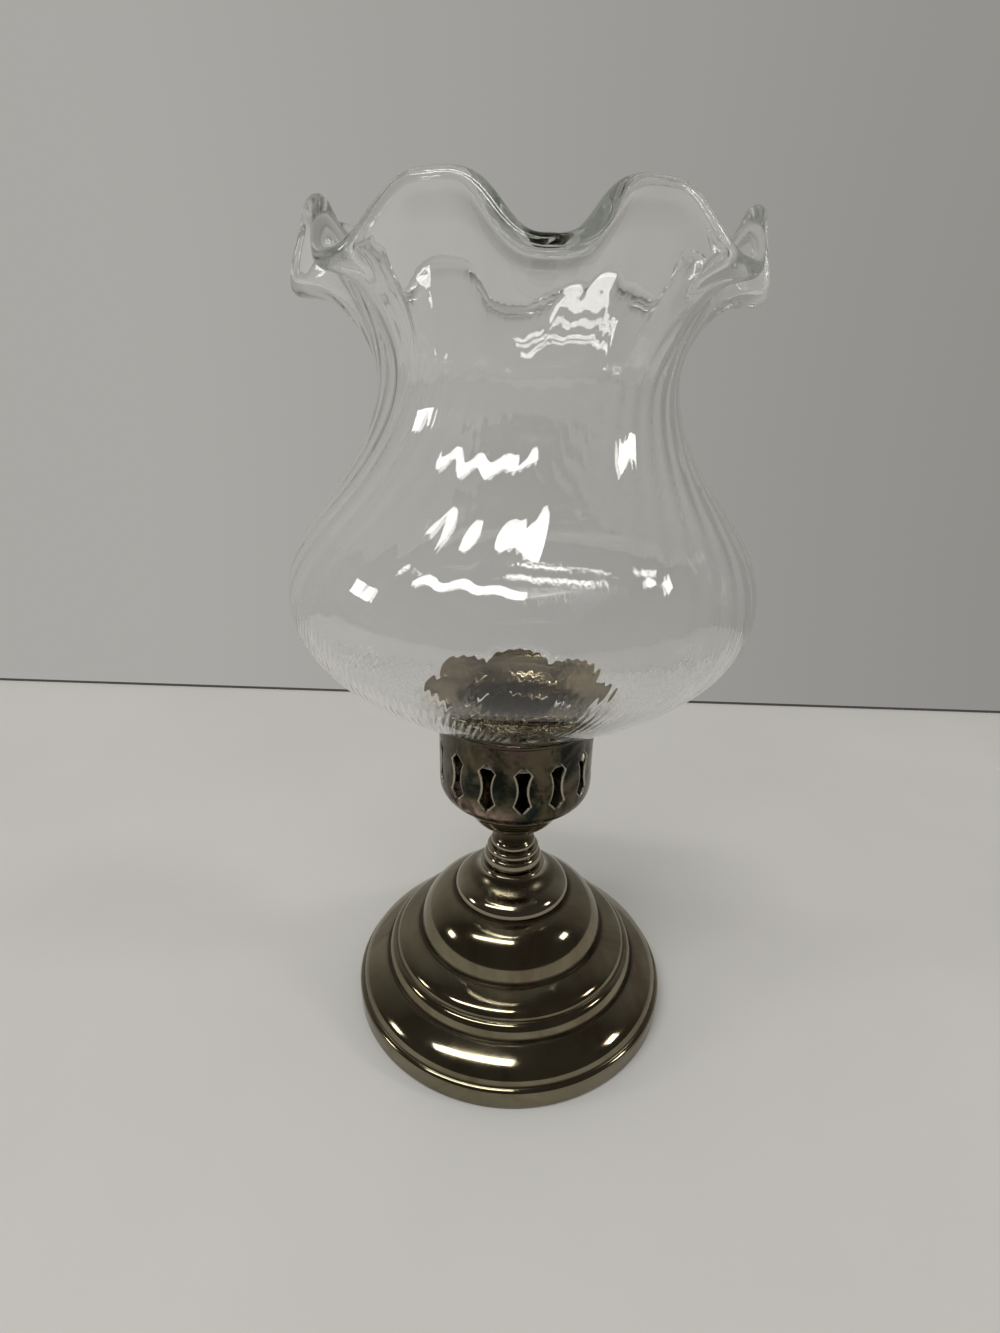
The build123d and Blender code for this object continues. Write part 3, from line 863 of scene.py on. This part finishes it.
def make_shade(glass):
    """Blown shade: a wall with swirling ribs, a ruffled rim and a thick fire-polished lip."""
    count = RIBS * RIB_COLUMNS
    angles = np.linspace(0.0, 2 * math.pi, count, endpoint=False)
    middle, wall, share = shade_middle(angles)
    around = np.roll(middle, -1, axis=0) - np.roll(middle, 1, axis=0)
    along = np.gradient(middle, axis=1)
    normal = np.cross(around, along)
    normal /= np.linalg.norm(normal, axis=-1, keepdims=True)
    swirl = np.cos(RIBS * (angles[:, None] - RIB_TWIST * share[None, :]))
    ribs = RIB_DEPTH * np.interp(share, *zip(*RIB_FADE)) * (swirl - 1.0)
    inner_ribs = ribs * np.interp(share, *zip(*RIB_FOLLOWED_INSIDE))
    outside = middle + normal * (wall / 2 + ribs)[:, :, None]
    inside = middle - normal * (wall / 2 - inner_ribs)[:, :, None]
    end = along[:, -1] / np.linalg.norm(along[:, -1], axis=-1, keepdims=True)
    lip = []
    for turn in np.linspace(0.0, math.pi, LIP_ROWS + 2)[1:-1]:
        lip.append(middle[:, -1] + wall[-1] / 2 * (math.cos(turn) * normal[:, -1] + math.sin(turn) * end))
    points = np.concatenate([outside, np.stack(lip, axis=1), inside[:, ::-1]], axis=1)
    places = np.tile(np.concatenate([share, np.ones(LIP_ROWS), share[::-1]]), (count, 1))
    piece = mesh_object("ruffled_shade", points, grid_faces(*points.shape[:2]), glass, {"along": places})
    stand_for(piece, "glass_shade", "shade")
    return piece


def petal_section(line, flare, off):
    """Section of the collar along a line, at a place off the middle of a petal: cupped, fluted, rippled."""
    relief = np.minimum(RELIEF_GROWTH * flare, 1.0)
    line[:, 1] += PETAL_CUP * flare ** 2 * (2 * (2 * off) ** 2 - 1)
    line[:, 1] += PETAL_FLUTE_DEPTH * relief * math.cos(2 * math.pi * PETAL_FLUTES * off)
    line[:, 1] += PETAL_RIPPLE_DEPTH * relief * np.cos(2 * math.pi * PETAL_RIPPLES * flare)
    along = directions_along(line)
    side = np.stack([along[:, 1], -along[:, 0]], axis=1) * COLLAR_WALL / 2
    tip = [line[-1] + along[-1] * COLLAR_WALL / 2]
    return np.concatenate([line + side, tip, (line - side)[::-1]])


def make_collar(plate):
    """Petal collar: a sleeve that flares into cupped petals."""
    base = bottom_of("petal_collar")
    angles = np.linspace(0.0, 2 * math.pi, PETALS * PETAL_FLUTES * FLUTE_COLUMNS, endpoint=False)
    away = (angles * PETALS / (2 * math.pi) + 0.5) % 1.0 - 0.5
    turn = away * 2 * math.pi / PETALS
    centre = PETAL_REACH - PETAL_ROUND
    reach = centre * np.cos(turn) + np.sqrt(PETAL_ROUND ** 2 - (centre * np.sin(turn)) ** 2)
    corners = np.array(COLLAR_LINE) * MM
    knots = lengths_along(corners)
    whole = spline_weights(knots, np.linspace(0.0, knots[-1], COLLAR_SAMPLES)) @ corners
    sleeve = whole[0, 0]
    points = []
    for angle, limit, off in zip(angles, reach, away):
        end = int(np.searchsorted(whole[:, 0], limit - COLLAR_WALL / 2))
        line = spread(whole[:end], knots[-1] / COLLAR_STEPS)
        line = line[np.linspace(0, len(line) - 1, COLLAR_ROWS).round().astype(int)]
        flare = np.clip((line[:, 0] - sleeve) / (whole[-1, 0] - sleeve), 0.0, 1.0)
        section = petal_section(line, flare, off)
        points.append(np.stack([
            section[:, 0] * np.cos(angle + math.pi / 2),
            section[:, 0] * np.sin(angle + math.pi / 2),
            section[:, 1] + base,
        ], axis=-1))
    points = np.stack(points)
    piece = mesh_object("petals", points, grid_faces(*points.shape[:2]), plate)
    stand_for(piece, "petal_collar", "collar")


def dress(material, *nodes):
    """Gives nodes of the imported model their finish."""
    for name in nodes:
        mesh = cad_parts[name].data
        mesh.materials.clear()
        mesh.materials.append(material)


def make_stage():
    """Pale table top with a dark strip along its rear edge as a painted shadow line, behind the lamp."""
    look = Finish("table")
    clouds = look.ramp(look.noise(9.0, detail=4.0), 0.3, 0.7)
    tone = look.mix(clouds, colour(0.78, 0.772, 0.748), colour(0.82, 0.812, 0.788))
    look.feed(look.surface, {"Base Color": tone, "Roughness": 0.6})
    points = np.array([
        (-TABLE_SIDE, -TABLE_SIDE, 0.0),
        (TABLE_SIDE, -TABLE_SIDE, 0.0),
        (TABLE_SIDE, TABLE_BACK, 0.0),
        (-TABLE_SIDE, TABLE_BACK, 0.0),
    ])
    mesh_object("table", points, np.array([[0, 1, 2, 3]]), look.material)
    # Painted shadow: a dark strip standing where the table meets the wall
    edge_shadow = Finish("table_edge_shadow")
    edge_shadow.feed(edge_shadow.surface, {"Base Color": colour(0.09, 0.088, 0.082), "Roughness": 0.7})
    points = np.array([
        (-TABLE_SIDE, TABLE_BACK, -EDGE_SHADOW_LINE),
        (TABLE_SIDE, TABLE_BACK, -EDGE_SHADOW_LINE),
        (TABLE_SIDE, TABLE_BACK, EDGE_SHADOW_LINE),
        (-TABLE_SIDE, TABLE_BACK, EDGE_SHADOW_LINE),
    ])
    mesh_object("table_edge_shadow", points, np.array([[0, 1, 2, 3]]), edge_shadow.material)


def make_world():
    """Grey wall, paler on the left, with a dark ceiling through glass; mirrors see a dark room in front."""
    world = bpy.data.worlds.new("studio")
    bpy.context.scene.world = world
    world.use_nodes = True
    look = Shading(world.node_tree)
    path = look.add("LightPath")
    axes = look.add("SeparateXYZ", {"Vector": look.add("TexCoord").outputs["Generated"]})
    rightness = look.ramp(axes.outputs["X"], -0.45, 0.55)
    behind = look.ramp(axes.outputs["Y"], 0.0, 0.62)
    above = look.ramp(axes.outputs["Z"], 0.2, 0.5)
    wall = look.mix(rightness, colour(0.40, 0.39, 0.37), colour(0.275, 0.268, 0.253))
    mirrored = look.mix(behind, colour(0.070, 0.065, 0.057), wall)
    lit = look.mix(rightness, colour(0.46, 0.45, 0.427), colour(0.317, 0.309, 0.292))
    bent = look.mix(above, lit, colour(0.17, 0.166, 0.157))
    reflected = look.maths("GREATER_THAN", path.outputs["Glossy Depth"], 0.5)
    bent = look.mix(reflected, bent, mirrored)
    seen = look.mix(path.outputs["Is Glossy Ray"], wall, mirrored)
    seen = look.mix(path.outputs["Is Transmission Ray"], seen, bent)
    look.feed(look.tree.nodes["Background"], {"Color": seen})


def make_light(name, place, size, target, turn=0.0):
    """Rectangular light that faces a target, turned about its own axis."""
    data = bpy.data.lights.new(name, "AREA")
    data.shape = "RECTANGLE"
    data.size, data.size_y = size
    data.energy = LIGHT_RADIANCE * math.pi * size[0] * size[1]
    data.color = LIGHT_COLOUR
    light = bpy.data.objects.new(name, data)
    facing = (Vector(target) - Vector(place)).to_track_quat("-Z", "Y").to_matrix().to_4x4()
    light.matrix_world = Matrix.Translation(place) @ facing @ Matrix.Rotation(turn, 4, "Z")
    bpy.context.scene.collection.objects.link(light)
    return light


def link_light(light, piece, state):
    """The light includes the piece alone, or excludes it."""
    receivers = bpy.data.collections.new(light.name + "_receivers")
    receivers.objects.link(piece)
    receivers.collection_objects[0].light_linking.link_state = state
    light.light_linking.receiver_collection = receivers


def make_lights(shade):
    """Long ceiling lights in front of the lamp, for the metal and for the glass, and one on each side."""
    for name, (across, back), size, turn, state in CEILING_LIGHTS:
        light = make_light(name, (across, back, CEILING), size, (across, back, 0.0), turn)
        link_light(light, shade, state)
    for name, place in SIDE_LIGHTS:
        make_light(name, place, SIDE_LIGHT_SIZE, SIDE_LIGHT_TARGET)


def make_camera():
    """Camera where the photograph was taken."""
    data = bpy.data.cameras.new("camera")
    data.lens = data.sensor_width * FOCAL_PIXELS / FRAME_HEIGHT
    data.clip_start = NEAREST_SEEN
    camera = bpy.data.objects.new("camera", data)
    forward = np.array([
        math.sin(CAMERA_YAW) * math.cos(CAMERA_PITCH),
        math.cos(CAMERA_YAW) * math.cos(CAMERA_PITCH),
        -math.sin(CAMERA_PITCH),
    ])
    level = np.array([math.cos(CAMERA_YAW), -math.sin(CAMERA_YAW), 0.0])
    down = np.cross(forward, level)
    across = math.cos(CAMERA_ROLL) * level + math.sin(CAMERA_ROLL) * down
    upright = math.sin(CAMERA_ROLL) * level - math.cos(CAMERA_ROLL) * down
    turn = np.stack([across, upright, -forward], axis=1)
    camera.matrix_world = Matrix.Translation(CAMERA_PLACE) @ Matrix(turn.tolist()).to_4x4()
    bpy.context.scene.collection.objects.link(camera)
    bpy.context.scene.camera = camera


plate = silver_plate()
brass = golden_plate()
make_foot(plate)
make_bell(plate)
make_stem(plate)
make_saucer(plate)
make_gallery(tarnished_plate())
make_collar(brass)
shade = make_shade(clear_glass())
dress(brass, "candle_socket")
dress(bare_steel(), "base_plate", "tie_rod", "rod_nut", "spring_washer", "flat_washer")
dress(cast_iron(), "base_weight")
dress(felt(), "felt_pad")
make_stage()
make_world()
make_lights(shade)
make_camera()
bpy.context.scene.view_settings.view_transform = "Standard"
bpy.context.scene.cycles.caustics_reflective = False
bpy.context.scene.cycles.caustics_refractive = False
bpy.context.scene.cycles.max_bounces = LIGHT_BOUNCES
bpy.context.scene.cycles.glossy_bounces = LIGHT_BOUNCES
bpy.context.scene.cycles.transmission_bounces = LIGHT_BOUNCES
